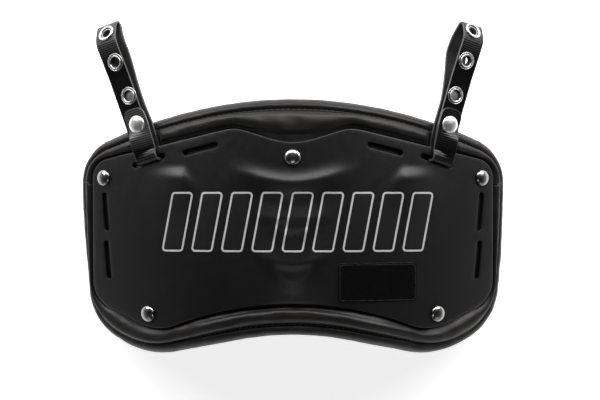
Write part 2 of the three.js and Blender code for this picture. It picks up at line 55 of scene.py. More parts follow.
LABEL = dict(width=64.0, height=31.5, corner=3.0, thickness=0.4, x=68.0, y=-45.0, rise=0.45, border=1.3,
             line=0.45)
CAP_AT = 0.262
EYELETS_AT = (0.94, 0.727, 0.475)
EYELET_SHIFT = 1.0
RIB_SCALE = (0.3, 0.1795, 1.0)

# Corners of the right half of each outline: shares of the half sizes, and each corner's radius
PLATE_CORNERS = [(0, 0.806, 57), (0.281, 0.99, 30), (1, 0.65, 16), (1, -0.759, 25), (0.669, -1.078, 36),
                 (0, -0.523, 260)]
PAD_CORNERS = [(0, 1.29, 393), (1, 0.544, 31), (0.997, 0, 900), (0.958, -0.755, 42), (0.71, -0.985, 62),
               (0, -0.737, 256)]
# Places on the plate in shares of its half sizes, a slot's turn in degrees, and the forms pressed into it
SLOTS = [(0.708, 0.66, -17.8), (0.45, 0.775, -13.8), (0.93, 0.144, 85.0), (0.92, -0.35, 85.0)]
RIVETS = {"rivet_top": (0, 0.688), "rivet_upper_left": (-0.938, 0.49), "rivet_upper_right": (0.938, 0.49),
          "rivet_lower_left": (-0.711, -0.89), "rivet_lower_right": (0.711, -0.89)}
CRESTS = [(0.449, 0.35, 0.31, 0.72, 0.15, 0.26, 3.4), (0.081, 0.15, 0.25, 0.44, 0.24, 0.10, 2.0),
          (-0.098, 0.6, 0.05, 0.34, 0.16, 0.14, 1.6), (-0.375, 0.4, 0.15, 0.42, 0.25, 0.10, 2.0),
          (-0.515, 0.65, 0.05, 0.38, 0.15, 0.2, 1.5)]
WING = dict(inner=0.43, crown=0.54, outer=0.76, top=0.62, ramp=0.15, droop=0.2, foot=0.0, height=3.6)
BARS = dict(count=9, low=-20.5, high=27.5, slant=9.0, pitch=24.2, width=17.6, line=1.5, corner=3.0, shift=4.0)
SEAM = dict(stitch=4.4, thread=0.38, draw=0.75, pucker=0.12, dents=0.22)
CLOTH = dict(quality=4, mass=0.4, use_pressure=True, uniform_pressure_force=4.0, tension_stiffness=8,
             compression_stiffness=8, shear_stiffness=4, bending_stiffness=0.3, shrink_min=-0.02,
             pin_stiffness=2.0)
FILLING = dict(frames=20, cap=2.4, folds_kept=0.12)
# The cushion's section: shares of its free band and of its bulge, and of its roll and its thickness
SWELL = [(0.06, -0.12), (0.2, 0.0), (0.36, 0.72), (0.58, 0.98), (0.82, 0.66), (0.94, 0.15)]
RIM = [(0.0, 0.085), (0.3, 0.03), (0.72, 0.15), (0.97, 0.42), (0.86, 0.72), (0.4, 0.93), (-0.9, 1.0)]
# Where a strap rolls over into its slot: distance up from the slot, height over its front and radius
ROLL = [(7.6, 0.1, 1.2), (5.2, 1.5, 1.8), (2.2, 2.6, 2.6), (-0.8, 1.5, 2.0)]
# Rims of the metal pieces: shares of the outer radius, and heights over the webbing
CAP_RIM = [(0.9, 0), (0.96, 0.2), (0.97, 0.45), (0.93, 0.6), (0.955, 0.75)]
BROAD_RIM = [(0.94, 0.4), (0.92, 0.9), (0.88, 1.2), (0.82, 1.3), (0.76, 1.2), (0.71, 0.9), (0.68, 0.5),
             (0.62, 0.3)]
DOUBLE_RIM = [(0.94, 0.25), (0.935, 0.55), (0.91, 0.72), (0.875, 0.68), (0.85, 0.4), (0.84, 0.15), (0.76, 0.12),
              (0.75, 0.6), (0.735, 1.2), (0.71, 1.45), (0.67, 1.5), (0.63, 1.42), (0.59, 1.1), (0.57, 0.7),
              (0.53, 0.2)]
# How each strap hangs, and how much lighter its tab and its fold are painted than the rest, as painted highlights
STRAPS = [
    dict(name="left", side=-1, shift=0.7, tab_lean=1.75, loop_lean=7.0, peak=1.082,
         slip=4.1, rise=2.9, skew=0.0, tab=13.0, fold_highlight=19.0,
         back=[(0.262, -3.2), (0.4, -1.0), (0.62, -0.4), (0.86, 2.8)]),
    dict(name="right", side=1, shift=3.4, tab_lean=4.0, loop_lean=-1.5, peak=1.032,
         slip=1.0, rise=-0.9, skew=0.084, tab=2.2, fold_highlight=15.0,
         back=[(0.262, -3.2), (0.42, -1.4), (0.77, -6.4)]),
]


# The form

def smooth(t):
    c = np.clip(t, 0, 1)
    return c * c * (3 - 2 * c)


def form_height(x, y):
    across = x / (1 + FORM["narrowing"] * y / FORM["half"])
    around = FORM["crown"] * FORM["steepness"]
    return -FORM["steepness"] * (np.hypot(across, around) - around) - FORM["bow"] * (y / FORM["half"]) ** 2


def normal_of(height, x, y):
    step = 0.5
    dx = (height(x + step, y) - height(x - step, y)) / (2 * step)
    dy = (height(x, y + step) - height(x, y - step)) / (2 * step)
    n = np.stack([-dx, -dy, np.ones_like(dx)], -1)
    return n / np.linalg.norm(n, axis=-1, keepdims=True)


def on_form(x, y, out):
    x = np.asarray(x, float)
    y = np.asarray(y, float)
    base = np.stack([x, y, form_height(x, y)], -1)
    return base + normal_of(form_height, x, y) * np.asarray(out, float)[..., None]


def plate_height(x, y):
    size = PLATE["half_height"]
    z = form_height(x, y)
    for tip, slope, around, reach, hollow, fall, height in CRESTS:
        r = around * size
        above = y - (tip * size + slope * (np.hypot(x, r) - r))
        side = smooth((1 - np.abs(x) / (reach * size)) * 1.6)
        share = np.where(above > 0, (1 - np.clip(above / (hollow * size), 0, 1)) ** 2,
                         1 - smooth(-above / (fall * size)))
        z = z + height * side * share
    across = np.abs(x) / PLATE["half_width"]
    up = y / size
    inner = smooth((across - WING["inner"]) / (WING["crown"] - WING["inner"]))
    outer = smooth((WING["outer"] - across) / (WING["outer"] - WING["crown"]))
    ramp = smooth((WING["top"] - WING["droop"] * (1 - inner) - up) / WING["ramp"])
    foot = smooth((up - WING["foot"]) / (WING["top"] - WING["foot"]))
    return z + WING["height"] * inner * outer * ramp * foot


def frame_on(x, y, turn=0.0):
    """Basis columns (along, up, normal) and the point on the form."""
    normal = normal_of(form_height, np.array(float(x)), np.array(float(y)))
    along = np.array([math.cos(turn), math.sin(turn), 0.0])
    along[2] = -along.dot(normal) / normal[2]
    along /= np.linalg.norm(along)
    up = np.cross(normal, along)
    return np.stack([along, up, normal], 1), on_form(x, y, 0.0)


# Outlines

def rounded_path(corners, closed, chord, turn_step=math.pi / 10):
    points = []
    count = len(corners)
    for i, (cx, cy, radius) in enumerate(corners):
        here = np.array([cx, cy], float)
        if not radius or (not closed and i in (0, count - 1)):
            points.append(here)
            continue
        last = np.array(corners[i - 1][:2], float)
        after = np.array(corners[(i + 1) % count][:2], float)
        to_last = (last - here) / np.linalg.norm(last - here)
        to_next = (after - here) / np.linalg.norm(after - here)
        turn = math.pi - math.acos(max(-1.0, min(1.0, to_last.dot(to_next))))
        middle = to_last + to_next
        middle /= np.linalg.norm(middle)
        centre = here + middle * radius / math.cos(turn / 2)
        start = here + to_last * radius * math.tan(turn / 2)
        way = math.copysign(1, to_next[0] * to_last[1] - to_next[1] * to_last[0])
        steps = max(2, math.ceil(turn / turn_step), math.ceil(radius * turn / chord))
        for k in range(steps + 1):
            a = way * turn * k / steps
            d = start - centre
            points.append(centre + np.array([d[0] * math.cos(a) - d[1] * math.sin(a),
                                             d[0] * math.sin(a) + d[1] * math.cos(a)]))
    return np.array(points)


def outline(half, width, height, chord):
    right = [(x * width, y * height, r) for x, y, r in half]
    left = [(-x, y, r) for x, y, r in reversed(right[1:-1])]
    return rounded_path(right + left, True, chord)


def evenly(points, count, closed=True):
    ring = np.vstack([points, points[:1]]) if closed else points
    length = np.concatenate([[0], np.cumsum(np.linalg.norm(np.diff(ring, axis=0), axis=1))])
    at = np.linspace(0, length[-1], count, endpoint=not closed)
    return np.stack([np.interp(at, length, ring[:, k]) for k in range(ring.shape[1])], 1)


def turned_left(ring):
    area = np.sum(ring[:, 0] * np.roll(ring[:, 1], -1) - np.roll(ring[:, 0], -1) * ring[:, 1])
    return ring if area > 0 else ring[::-1].copy()


def sideways(ring):
    t = np.roll(ring, -1, 0) - np.roll(ring, 1, 0)
    t /= np.linalg.norm(t, axis=1, keepdims=True)
    return np.stack([-t[:, 1], t[:, 0]], 1)


def inset(ring, distance):
    return ring + sideways(ring) * distance


def inside(ring, p):
    found = np.zeros(len(p), bool)
    for (ax, ay), (bx, by) in zip(ring, np.roll(ring, -1, 0)):
        if ay == by:
            continue
        crosses = ((ay > p[:, 1]) != (by > p[:, 1])) & (
            p[:, 0] < (bx - ax) * (p[:, 1] - ay) / (by - ay) + ax)
        found ^= crosses
    return found


def circle(x, y, radius, count):
    a = np.linspace(0, 2 * math.pi, count, endpoint=False)
    return np.stack([x + radius * np.cos(a), y + radius * np.sin(a)], 1)


# Meshes

def new_object(name, points, faces, material):
    """A piece from points in millimetres on the form, carried to the frame's place for the crown."""
    mesh = bpy.data.meshes.new(name)
    mesh.from_pydata(((np.asarray(points, float) + SHIFT) * MM).tolist(), [], faces)
    mesh.validate()
    mesh.shade_smooth()
    mesh.materials.append(material)
    obj = bpy.data.objects.new(name, mesh)
    bpy.context.scene.collection.objects.link(obj)
    return obj


def points_of(mesh):
    co = np.empty(len(mesh.vertices) * 3)
    mesh.vertices.foreach_get("co", co)
    return co.reshape(-1, 3)


def tree_of(points):
    tree = KDTree(len(points))
    for k, p in enumerate(points):
        tree.insert((*p, 0)[:3], k)
    tree.balance()
    return tree


def plan_mesh(outer, holes, step, rounding, hole_rounding):
    """Triangles of a plan outline with holes, with rings along each edge for its rounding.

    Gives the points, each point's drop, the triangles, and the loop of points along each edge.
    """
    angles = np.linspace(0, math.pi / 2, 5)
    rings, falls = [], []
    for ring, r in [(turned_left(outer), rounding)] + [(turned_left(h)[::-1], hole_rounding) for h in holes]:
        rings.append([inset(ring, r * (1 - math.cos(a))) for a in angles])
        falls.append([r * (1 - math.sin(a)) for a in angles])
    points, edges, depth, starts = [], [], [], []
    for group, fall in zip(rings, falls):
        starts.append((sum(len(p) for p in points), len(group[0])))
        for d, ring in zip(fall, group):
            first = sum(len(p) for p in points)
            n = len(ring)
            points.append(ring)
            depth.append(np.full(n, d))
            edges += [(first + k, first + (k + 1) % n) for k in range(n)]
    low, high = outer.min(0), outer.max(0)
    xs = np.arange(low[0], high[0], step)
    ys = np.arange(low[1], high[1], step * 0.866)
    grid = np.array([(x + (step / 2 if j % 2 else 0), y) for j, y in enumerate(ys) for x in xs])
    keep = inside(turned_left(outer), grid)
    for hole in holes:
        keep &= ~inside(hole, grid)
    grid = grid[keep]
    tree = tree_of(np.vstack([g for group in rings for g in group]))
    grid = np.array([p for p in grid if tree.find((p[0], p[1], 0))[2] > 0.62 * step]).reshape(-1, 2)
    points.append(grid)
    depth.append(np.zeros(len(grid)))
    flat = np.vstack(points)
    depth = np.concatenate(depth)
    verts, _, faces, origin, _, _ = delaunay_2d_cdt([Vector(p) for p in flat], edges, [], 0, 1e-6)
    verts = np.array([tuple(v) for v in verts])
    source = np.array([o[0] if o else -1 for o in origin])
    drop = np.where(source >= 0, depth[np.maximum(source, 0)], 0.0)
    tris = np.array([f for f in faces])
    middle = verts[tris].mean(1)
    keep = inside(turned_left(outer), middle)
    for hole in holes:
        keep &= ~inside(hole, middle)
    where = {int(s): k for k, s in enumerate(source)}
    loops = [[where[k] for k in range(s, s + n)] for s, n in starts]
    return verts, drop, tris[keep], loops


def shell(name, outer, holes, lift, thickness, step, rounding, material, under=True, hole_rounding=None,
          others=None):
    """A sheet over a plan with rounded edges. lift(x, y, level) gives the points, level 0 on its first face.

    others, if given, are the materials of its second face and of its edges; its plan then goes into a UV map.
    """
    verts, drop, tris, loops = plan_mesh(outer, holes, step, rounding, hole_rounding or rounding)
    top = lift(verts[:, 0], verts[:, 1], -drop)
    faces = [tuple(int(k) for k in t) for t in tris]
    if not under:
        return new_object(name, top, faces, material)
    bottom = lift(verts[:, 0], verts[:, 1], -thickness + drop)
    n = len(verts)
    # the outer ring of each edge takes the edge's material, on the straps a lighter one that is a painted
    # highlight
    edge = [max(drop[k] for k in t) > 0.6 * rounding for t in tris]
    kinds = [2 if e else 0 for e in edge] + [2 if e else 1 for e in edge]
    faces += [(int(c) + n, int(b) + n, int(a) + n) for a, b, c in tris]
    for loop in loops:
        for a, b in zip(loop, loop[1:] + loop[:1]):
            faces.append((a, a + n, b + n, b))
            kinds.append(2)
    obj = new_object(name, np.vstack([top, bottom]), faces, material)
    if others:
        mesh = obj.data
        for m in others:
            mesh.materials.append(m)
        mesh.polygons.foreach_set("material_index", kinds)
        index = np.empty(len(mesh.loops), int)
        mesh.loops.foreach_get("vertex_index", index)
        mesh.uv_layers.new(name="run").data.foreach_set("uv", np.vstack([verts, verts])[index].ravel())
    return obj


SHARP = math.radians(38)


def lathe(name, profile, basis, origin, sides, material, second=None):
    """A turned piece from (radius, height) pairs on a frame.

    second, if given, is a material and a test on radius and height of the faces that take it.
    """
    angles = np.linspace(0, 2 * math.pi, sides, endpoint=False)
    points, rows, faces, kinds = [], [], [], []
    for radius, height in profile:
        if radius < 1e-6:
            rows.append([len(points)])
            points.append((0, 0, height))
            continue
        rows.append(list(range(len(points), len(points) + sides)))
        points += [(radius * math.cos(a), radius * math.sin(a), height) for a in angles]
    for i, (low, high) in enumerate(zip(rows, rows[1:])):
        middle = (np.array(profile[i]) + np.array(profile[i + 1])) / 2
        kinds += [1 if second and second[1](*middle) else 0] * sides
        for k in range(sides):
            j = (k + 1) % sides
            if len(low) == 1:
                faces.append((low[0], high[k], high[j]))
            elif len(high) == 1:
                faces.append((low[k], high[0], low[j]))
            else:
                faces.append((low[k], high[k], high[j], low[j]))
    obj = new_object(name, np.array(points) @ basis.T + origin, faces, material)
    obj.data.set_sharp_from_angle(angle=SHARP)
    if second:
        obj.data.materials.append(second[0])
        obj.data.polygons.foreach_set("material_index", kinds)
    return obj


def bevelled(profile, radius, steps):
    """The profile with its corners rounded, apart from its two ends."""
    out = [profile[0]]
    for i in range(1, len(profile) - 1):
        p, q, r = (np.array(profile[k], float) for k in (i - 1, i, i + 1))
        a = (p - q) / max(1e-9, np.linalg.norm(p - q))
        b = (r - q) / max(1e-9, np.linalg.norm(r - q))
        cut = min(radius, 0.45 * np.linalg.norm(p - q), 0.45 * np.linalg.norm(r - q))
        for k in range(steps + 1):
            t = k / steps
            out.append(tuple((1 - t) ** 2 * (q + a * cut) + 2 * t * (1 - t) * q + t * t * (q + b * cut)))
    out.append(profile[-1])
    return out


# Materials

def fill(n, **values):
    """Sets a node's own properties and its inputs, with _ for a space in an input's name."""
    for key, value in values.items():
        if hasattr(n, key):
            setattr(n, key, value)
        else:
            n.inputs[key.replace("_", " ")].default_value = value
    return n


def node(m, kind, **values):
    return fill(m.node_tree.nodes.new(kind), **values)


def link(m, a, out, b, into):
    m.node_tree.links.new(a.outputs[out], b.inputs[into])


def material(name, **values):
    """A new material with its shader and its coordinates."""
    m = bpy.data.materials.new(name)
    m.use_nodes = True
    m.node_tree.nodes.clear()
    shader = node(m, "ShaderNodeBsdfPrincipled", **values)
    link(m, shader, 0, node(m, "ShaderNodeOutputMaterial"), 0)
    return m, shader, node(m, "ShaderNodeTexCoord")


def noise(m, co, scale, detail, roughness=0.5):
    n = node(m, "ShaderNodeTexNoise", Scale=scale, Detail=detail, Roughness=roughness)
    link(m, co, "Object", n, "Vector")
    return n


def ramp(m, source, out, low, high, stops):
    r = node(m, "ShaderNodeValToRGB")
    for element, position, colour in zip(r.color_ramp.elements, (low, high), stops):
        element.position = position
        element.color = colour
    link(m, source, out, r, "Fac")
    return r


def vary(m, shader, into, source, low, high, stops):
    """Lets a noise between low and high move one of the shader's values from its first stop to its second."""
    link(m, ramp(m, source, "Fac", low, high, stops), "Color", shader, into)


def grey(v, warm=0.0):
    return (v * (1 + warm), v, v * (1 - warm), 1)


def bump(m, shader, height, out, strength, distance, before=None):
    b = node(m, "ShaderNodeBump", Strength=strength, Distance=distance)
    link(m, height, out, b, "Height")
    if before:
        link(m, before, "Normal", b, "Normal")
    link(m, b, "Normal", shader, "Normal")
    return b


def plate_material():
    m, s, co = material("moulded_plastic", Specular_IOR_Level=0.40)
    vary(m, s, "Base Color", noise(m, co, 28.0, 4.0, 0.55), 0.3, 0.72, (grey(0.0042), grey(0.0062)))
    vary(m, s, "Roughness", noise(m, co, 190.0, 6.0, 0.7), 0.35, 0.75, (grey(0.34), grey(0.42)))
    bump(m, s, noise(m, co, 2600.0, 3.0, 0.6), "Fac", 0.16, 0.0002)
    return m


def cover_material():
    m, s, co = material("coated_cover", Specular_IOR_Level=0.34, Specular_Tint=(1.0, 0.93, 0.92, 1),
                        Sheen_Weight=0.02, Sheen_Roughness=0.4)
    cells = node(m, "ShaderNodeTexVoronoi", Scale=900.0, feature="DISTANCE_TO_EDGE")
    link(m, co, "Object", cells, "Vector")
    folds = noise(m, co, 75.0, 5.0, 0.6)
    vary(m, s, "Base Color", noise(m, co, 20.0, 3.0), 0.3, 0.7, (grey(0.0060, 0.02), grey(0.0095, 0.05)))
    vary(m, s, "Roughness", folds, 0.3, 0.8, (grey(0.38), grey(0.50)))
    a = bump(m, s, folds, "Fac", 0.08, 0.0010)
    b = bump(m, s, cells, "Distance", 0.12, 0.0002, a)
    bump(m, s, noise(m, co, 1700.0, 3.0), "Fac", 0.08, 0.0002, b)
    return m


def strap_material(name, low, high, rough, specular, ribs, tab=1.0, fold=0.0, fold_highlight=1.0):
    """Ribbed webbing. Its ribs follow the strap's UV map, whose Y is the run along it in millimetres.

    tab and fold_highlight are painted highlights: how much lighter than the rest its tab and its fold are
    painted; fold is where it turns.
    """
    m, s, co = material(name, Specular_IOR_Level=specular)
    run = node(m, "ShaderNodeUVMap")
    mapping = node(m, "ShaderNodeMapping", Scale=RIB_SCALE)
    link(m, run, "UV", mapping, "Vector")
    rib = node(m, "ShaderNodeTexWave", wave_type="BANDS", bands_direction="Y", Scale=1.0, Distortion=0.25,
               Detail=1.0)
    link(m, mapping, "Vector", rib, "Vector")
    colour = ramp(m, rib, "Fac", 0.25, 0.85, (grey(low), grey(high)))
    parts = node(m, "ShaderNodeSeparateXYZ")
    link(m, run, "UV", parts, "Vector")
    # its tone along the first 60 mm is painted light and shade: a painted highlight on the tab, painted shade in
    # the crease above the roll, and a painted highlight on the roll over the plate's edge bar
    part = node(m, "ShaderNodeMapRange", From_Max=60.0)
    link(m, parts, "Y", part, "Value")
    lower = ramp(m, part, "Result", 0.40, 0.58, (grey(0.05 * tab), grey(0.04)))
    for at, value in ((0.68, 0.04), (0.73, 0.05 * min(tab, 5.0)), (0.79, 0.05 * min(tab, 5.0)), (0.85, 0.05)):
        lower.color_ramp.elements.new(at).color = grey(value)
    # and a painted highlight round the fold, by the distance from it
    away = node(m, "ShaderNodeMath", operation="SUBTRACT")
    link(m, parts, "Y", away, 0)
    away.inputs[1].default_value = fold
    far = node(m, "ShaderNodeMath", operation="ABSOLUTE")
    link(m, away, "Value", far, 0)
    top = node(m, "ShaderNodeMapRange", From_Min=4.0, From_Max=32.0, To_Min=fold_highlight - 1.0, To_Max=0.0)
    link(m, far, "Value", top, "Value")
    scale = node(m, "ShaderNodeMath", operation="MULTIPLY_ADD")
    link(m, lower, "Color", scale, 0)
    scale.inputs[1].default_value = 20.0
    link(m, top, "Result", scale, 2)
    tone = node(m, "ShaderNodeMixRGB", blend_type="MULTIPLY", Fac=1.0)
    link(m, colour, "Color", tone, "Color1")
    link(m, scale, "Value", tone, "Color2")
    link(m, tone, "Color", s, "Base Color")
    vary(m, s, "Roughness", noise(m, co, 60.0, 4.0), 0.3, 0.8, (grey(rough * 0.85), grey(rough * 1.2)))
    a = bump(m, s, rib, "Fac", ribs, 0.0001)
    bump(m, s, noise(m, co, 1500.0, 3.0), "Fac", 0.06, 0.0001, a)
    return m


def metal_material(name, base, rough):
    m, s, co = material(name, Metallic=1.0)
    fine = noise(m, co, 420.0, 5.0, 0.65)
    vary(m, s, "Base Color", fine, 0.3, 0.8, (grey(base * 0.88, 0.02), grey(base, 0.03)))
    vary(m, s, "Roughness", fine, 0.35, 0.75, (grey(rough * 0.9), grey(rough * 1.15)))
    bump(m, s, fine, "Fac", 0.02, 0.0002)
    return m


def plain_material(name, low, high, rough, specular, scale):
    m, s, co = material(name, Specular_IOR_Level=specular)
    cloud = noise(m, co, scale, 4.0)
    vary(m, s, "Base Color", cloud, 0.3, 0.7, (grey(low), grey(high)))
    vary(m, s, "Roughness", cloud, 0.3, 0.8, (grey(rough * 0.85), grey(rough * 1.15)))
    bump(m, s, cloud, "Fac", 0.05, 0.0001)
    return m


M_PLATE = plate_material()
M_COVER = cover_material()
M_LINING = strap_material("webbing_back", 0.016, 0.028, 0.5, 0.3, 0.2)
# the strap's edges are painted lighter: a painted highlight along each edge
M_EDGE_HIGHLIGHT = strap_material("webbing_edge_highlight", 0.05, 0.09, 0.4, 0.5, 0.2)
M_RIVET = metal_material("dark_nickel", 0.36, 0.24)
M_SNAP = metal_material("polished_snap", 0.85, 0.28)
M_CAP = metal_material("satin_snap", 0.90, 0.36)
M_SOCKET = metal_material("dull_socket", 0.36, 0.5)
# near-black painted shade in the sockets' holes and in the groove between their rings
M_SOCKET_SHADE = plain_material("socket_painted_shade", 0.006, 0.05, 0.5, 0.25, 900.0)
M_LABEL = plain_material("label_film", 0.0035, 0.005, 0.16, 0.5, 300.0)
M_LABEL_EDGE = plain_material("label_edge", 0.02, 0.03, 0.3, 0.4, 300.0)
M_INK = plain_material("pale_ink", 0.44, 0.52, 0.5, 0.3, 600.0)
M_FILL = plain_material("dark_ink", 0.004, 0.006, 0.5, 0.3, 600.0)
M_THREAD = plain_material("sewing_thread", 0.05, 0.09, 0.6, 0.3, 1500.0)


# Where the frame puts the crown

def find_shift():
    """The crown's place, from the top rivet's node: the tip of its dome stands over the form at a known spot."""
    basis, origin = frame_on(0.0, RIVETS["rivet_top"][1] * PLATE["half_height"])
    tip = origin + basis[:, 2] * (GAP + 0.5 + RIVET["height"])
    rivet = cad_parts["rivet_top"]
    co = np.array([rivet.matrix_world @ v.co for v in rivet.data.vertices]) / MM
    return co[np.argmax(co @ basis[:, 2])] - tip


SHIFT = find_shift()


# Plate

def plate_place(x, y, side=1):
    return side * x * PLATE["half_width"], y * PLATE["half_height"]


def plate_outline():
    return outline(PLATE_CORNERS, PLATE["half_width"], PLATE["half_height"], 2)


def on_plate(x, y, level):
    base = np.stack([x, y, plate_height(x, y)], -1)
    return base + normal_of(form_height, x, y) * np.asarray(level, float)[..., None]


def above_plate(rise):
    """Lays a thin film at a height over the plate's relief."""
    def lift(x, y, level):
        base = np.stack([x, y, plate_height(x, y)], -1)
        return base + normal_of(plate_height, x, y) * (np.asarray(level, float) + rise)[..., None]
    return lift


def slot_ring(x, y, turn):
    """A slot's outline, carried onto the plan."""
    reach = (PLATE["slot_length"] - PLATE["slot_width"]) / 2
    r = PLATE["slot_width"] / 2
    a = np.linspace(-math.pi / 2, math.pi / 2, 9)
    right = np.stack([reach + r * np.cos(a), r * np.sin(a)], 1)
    ring = evenly(np.vstack([right, -right]), 64)
    basis, origin = frame_on(x, y, turn)
    return (ring @ basis[:, :2].T + origin)[:, :2]


def make_plate():
    holes = []
    for sx, sy, turn in SLOTS:
        for side in (1, -1):
            holes.append(slot_ring(*plate_place(sx, sy, side), math.radians(turn * side)))
    for sx, sy in RIVETS.values():
        holes.append(circle(*plate_place(sx, sy), PLATE["hole"], 24))
    edge = evenly(plate_outline(), 640)
    obj = shell("plate_shell", edge, holes, on_plate, PLATE["thickness"], 2.4, 1.0, M_PLATE,
                hole_rounding=0.3)
    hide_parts("plate")
    return obj


def make_label():
    """Blank film with a fine border line."""
    def ring(shrink, count):
        w, h = LABEL["width"] / 2 - shrink, LABEL["height"] / 2 - shrink
        corners = [(LABEL["x"] + i * w, LABEL["y"] + j * h, LABEL["corner"] - shrink * 0.5)
                   for i, j in ((1, 1), (1, -1), (-1, -1), (-1, 1))]
        return evenly(rounded_path(corners, True, 0.5), count)

    film = shell("label_blank", ring(0, 180), [], above_plate(LABEL["rise"]), LABEL["thickness"], 2.0, 0.12,
                 M_LABEL)
    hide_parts("label")
    border = shell("label_border", ring(LABEL["border"], 200), [ring(LABEL["border"] + LABEL["line"], 200)],
                   above_plate(LABEL["rise"] + 0.04), 0.04, 2.0, 0.02, M_LABEL_EDGE, under=False)
    return [film, border]


def make_panels():
    """A row of plain slanted bars, each a pale outline round a dark field."""
    outlines, fields = [], []
    for k in range(BARS["count"]):
        middle = (k - (BARS["count"] - 1) / 2) * BARS["pitch"] + BARS["shift"]
        lean, wide = BARS["slant"] / 2, BARS["width"] / 2
        corners = [(middle + i * lean + j * wide, BARS["high"] if i > 0 else BARS["low"], BARS["corner"])
                   for i, j in ((1, 1), (-1, 1), (-1, -1), (1, -1))]
        outer = evenly(rounded_path(corners, True, 0.6), 150)
        inner = inset(turned_left(outer), BARS["line"])
        outlines.append(shell("bar_outline_%d" % (k + 1), outer, [inner], above_plate(0.09), 0.05, 1.6, 0.02,
                              M_INK, under=False))
        fields.append(shell("bar_field_%d" % (k + 1), inner, [], above_plate(0.07), 0.05, 2.4, 0.02, M_FILL,
                            under=False))
    return outlines + fields


# Straps

def strap_frame(strap):
    x, y = plate_place(SLOTS[0][0], SLOTS[0][1], strap["side"])
    return frame_on(x, y, math.radians(SLOTS[0][2] * strap["side"]))


def drift(strap, up):
    """How far a strap's middle has moved sideways at a distance up from its slot."""
    snap = CAP_AT * STRAP["loop"]
    up = np.asarray(up, float)
    return (strap["shift"] - math.tan(math.radians(strap["tab_lean"])) * np.minimum(up, snap)
            - math.tan(math.radians(strap["loop_lean"])) * np.maximum(0, up - snap))


def strap_line(strap):
    """Corners of the strap's middle line, as distance up from the slot, height and radius."""
    half = STRAP["thickness"] / 2
    front = GAP + half
    behind = -PLATE["thickness"] - GAP - STRAP["slack"] - half
    bend = (front - behind) / 2
    wrap = PLATE["slot_width"] / 2 - GAP - half
    snap = CAP_AT * STRAP["loop"]

    def tab(x):
        return front + STRAP["lift"] * (x - STRAP["bar"])

    def tail(x):
        return tab(x) - (STRAP["thickness"] + GAP) * math.hypot(1, STRAP["lift"])

    swell_at = STRAP["swell_at"] * STRAP["loop"]
    shoulder = STRAP["loop"] - STRAP["fold"]
    crest = tail(swell_at) + STRAP["swell"]
    peak = strap["peak"] * STRAP["loop"]
    lean = math.tan(math.radians(STRAP["fold_tilt"]))
    return ([(STRAP["tab"], tab(STRAP["tab"]), 0), (snap, tab(snap), 0)]
            + [(up, front + rise, radius) for up, rise, radius in ROLL]
            + [(-wrap, front - 0.6, bend), (-wrap, behind, bend), (1.9 * STRAP["bar"], behind, 6)]
            + [(share * STRAP["loop"], out, 24) for share, out in strap["back"]]
            + [(peak, crest - lean * (peak - shoulder), 2.2), (shoulder, crest, 14),
               (swell_at, tail(swell_at), 60), (snap, tail(snap), 0), (STRAP["tail"], tail(STRAP["tail"]), 0)])


def strap_spot(strap, reach, on_tab):
    """Frame (basis, origin) where a distance up the strap meets its tab or its front layer."""
    path = rounded_path(strap_line(strap), False, 40, math.pi / 8)
    order = list(range(len(path) - 1))
    for i in (order if on_tab else order[::-1]):
        a, b = path[i], path[i + 1]
        if (a[0] - reach) * (b[0] - reach) <= 0:
            break
    point = a + (b - a) * (reach - a[0]) / (b[0] - a[0])
    tilt = math.atan2(a[1] - b[1], a[0] - b[0])
    c, s = math.cos(tilt), math.sin(tilt)
    local = np.array([[1, 0, 0], [0, c, -s], [0, s, c]])
    basis, origin = strap_frame(strap)
    spot = np.array([float(drift(strap, point[0])), point[0], point[1]])
    return basis @ local, origin + basis @ spot


def eyelet_spots(strap):
    spots = []
    for share in EYELETS_AT:
        basis, origin = strap_spot(strap, share * STRAP["loop"], False)
        spots.append((basis, origin - basis[:, 0] * strap["side"] * EYELET_SHIFT))
    return spots


def strap_curve(strap, count):
    """The strap's middle line, rounded more finely and softened, as points and their lengths along it."""
    line = evenly(rounded_path(strap_line(strap), False, 1.0, math.pi / 40), count, closed=False)
    reach = np.arange(-6, 7)
    weight = np.exp(-(reach / 1.5) ** 2)
    weight /= weight.sum()
    padded = np.vstack([line[:1] * 2 - line[6:0:-1], line, line[-1:] * 2 - line[-2:-8:-1]])
    soft = np.stack([np.convolve(padded[:, k], weight, "valid") for k in range(2)], 1)
    length = np.concatenate([[0], np.cumsum(np.linalg.norm(np.diff(soft, axis=0), axis=1))])
    return soft, length


